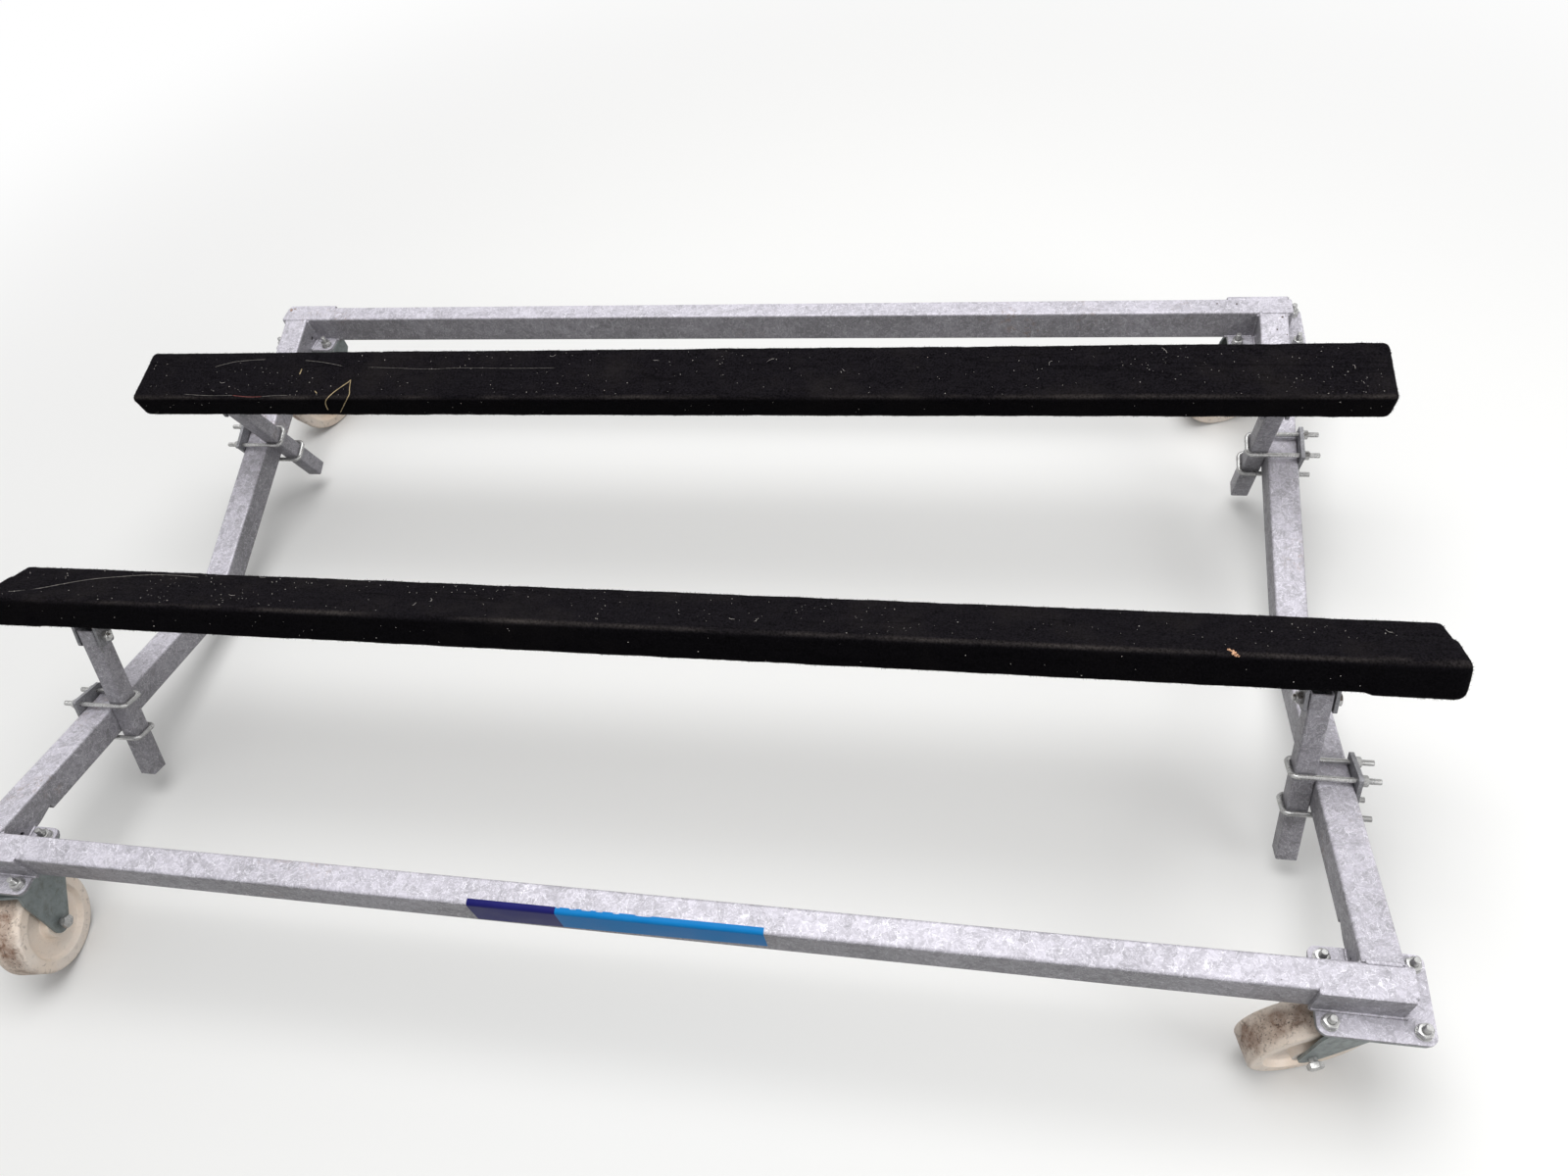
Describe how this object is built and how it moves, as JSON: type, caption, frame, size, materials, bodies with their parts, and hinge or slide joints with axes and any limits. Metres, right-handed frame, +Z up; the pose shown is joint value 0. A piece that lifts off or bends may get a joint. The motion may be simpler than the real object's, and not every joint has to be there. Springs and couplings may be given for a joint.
{
  "type": "boat storage trailer on swivel castors",
  "caption": "Low boat trailer: a galvanised frame with V-shaped cross members on swivel castors, with carpeted bunks that tilt on clamped posts.",
  "frame": {"origin": "floor under the middle of the whole trailer's box", "axes": "+X along the rails to the right end, +Y from the front rail to the rear rail, +Z up"},
  "size_m": [2.1833, 1.4236, 0.4257],
  "materials": {
    "galvanised_steel": "hot-dip galvanised, with bright spangle and dull patches",
    "galvanised_plate": "galvanised flat plate, duller than the rails",
    "bright_zinc": "bright zinc-plated rod and fasteners",
    "zinc_pressing": "passivated zinc pressing, grey-green, dusty",
    "cream_nylon": "moulded nylon, tread stained brown",
    "softwood": "planed softwood",
    "black_carpet": "short-pile marine carpet, dusty",
    "blue_vinyl": "dark and light blue vinyl film, a bare band on the front rail, part of the visual model"
  },
  "bodies": {
    "frame": {"castor_plate_front_left": "zinc_pressing", "castor_plate_front_right": "zinc_pressing", "castor_plate_rear_left": "zinc_pressing", "castor_plate_rear_right": "zinc_pressing", "clamp_plate_front_left": "galvanised_plate", "clamp_plate_front_right": "galvanised_plate", "clamp_plate_rear_left": "galvanised_plate", "clamp_plate_rear_right": "galvanised_plate", "corner_bracket_front_left": "galvanised_steel", "corner_bracket_front_right": "galvanised_steel", "corner_bracket_rear_left": "galvanised_steel", "corner_bracket_rear_right": "galvanised_steel", "cross_arm_front_left": "galvanised_steel", "cross_arm_front_right": "galvanised_steel", "cross_arm_rear_left": "galvanised_steel", "cross_arm_rear_right": "galvanised_steel", "front_rail": "galvanised_steel", "post_front_left": "galvanised_steel", "post_front_right": "galvanised_steel", "post_rear_left": "galvanised_steel", "post_rear_right": "galvanised_steel", "rear_rail": "galvanised_steel", "u_bolts_front_left": "bright_zinc", "u_bolts_front_right": "bright_zinc", "u_bolts_rear_left": "bright_zinc", "u_bolts_rear_right": "bright_zinc"},
    "swivel_front_left": {"castor_fork_front_left": "zinc_pressing", "castor_axle_front_left": "zinc_pressing"},
    "wheel_front_left": {"castor_wheel_front_left": "cream_nylon"},
    "swivel_front_right": {"castor_fork_front_right": "zinc_pressing", "castor_axle_front_right": "zinc_pressing"},
    "wheel_front_right": {"castor_wheel_front_right": "cream_nylon"},
    "swivel_rear_left": {"castor_fork_rear_left": "zinc_pressing", "castor_axle_rear_left": "zinc_pressing"},
    "wheel_rear_left": {"castor_wheel_rear_left": "cream_nylon"},
    "swivel_rear_right": {"castor_fork_rear_right": "zinc_pressing", "castor_axle_rear_right": "zinc_pressing"},
    "wheel_rear_right": {"castor_wheel_rear_right": "cream_nylon"},
    "bunk_front": {"bunk_board_front": "softwood", "bunk_bracket_front_left": "galvanised_plate", "bunk_bracket_front_right": "galvanised_plate", "bunk_carpet_front": "black_carpet", "pivot_bolt_front_left": "bright_zinc", "pivot_bolt_front_right": "bright_zinc"},
    "bunk_rear": {"bunk_board_rear": "softwood", "bunk_bracket_rear_left": "galvanised_plate", "bunk_bracket_rear_right": "galvanised_plate", "bunk_carpet_rear": "black_carpet", "pivot_bolt_rear_left": "bright_zinc", "pivot_bolt_rear_right": "bright_zinc"}
  },
  "joints": [
    {"name": "castor_swivel_front_left", "type": "hinge", "parent": "frame", "child": "swivel_front_left", "pos_m": [-0.996, -0.57325, 0.2], "axis": [0, 0, 1], "continuous": true},
    {"name": "wheel_spin_front_left", "type": "hinge", "parent": "swivel_front_left", "child": "wheel_front_left", "pos_m": [-0.98708, -0.62955, 0.08], "axis": [0.9877, 0.1564, 0], "continuous": true},
    {"name": "castor_swivel_front_right", "type": "hinge", "parent": "frame", "child": "swivel_front_right", "pos_m": [0.978, -0.57325, 0.2], "axis": [0, 0, 1], "continuous": true},
    {"name": "wheel_spin_front_right", "type": "hinge", "parent": "swivel_front_right", "child": "wheel_front_right", "pos_m": [0.92349, -0.58991, 0.08], "axis": [0.2924, -0.9563, 0], "continuous": true},
    {"name": "castor_swivel_rear_left", "type": "hinge", "parent": "frame", "child": "swivel_rear_left", "pos_m": [-0.996, 0.65675, 0.2], "axis": [0, 0, 1], "continuous": true},
    {"name": "wheel_spin_rear_left", "type": "hinge", "parent": "swivel_rear_left", "child": "wheel_rear_left", "pos_m": [-1.02009, 0.60509, 0.08], "axis": [0.9063, -0.4226, 0], "continuous": true},
    {"name": "castor_swivel_rear_right", "type": "hinge", "parent": "frame", "child": "swivel_rear_right", "pos_m": [0.978, 0.65675, 0.2], "axis": [0, 0, 1], "continuous": true},
    {"name": "wheel_spin_rear_right", "type": "hinge", "parent": "swivel_rear_right", "child": "wheel_rear_right", "pos_m": [0.92379, 0.63914, 0.08], "axis": [0.309, -0.9511, 0], "continuous": true},
    {"name": "bunk_tilt_front", "type": "hinge", "parent": "frame", "child": "bunk_front", "pos_m": [-0.009, -0.21825, 0.309], "axis": [0.9999, 0.0074, -0.0074], "range_deg": [-25, 40]},
    {"name": "bunk_tilt_rear", "type": "hinge", "parent": "frame", "child": "bunk_rear", "pos_m": [-0.009, 0.32425, 0.3135], "axis": [0.9999, 0.0121, -0.0016], "range_deg": [-23, 42]}
  ]
}
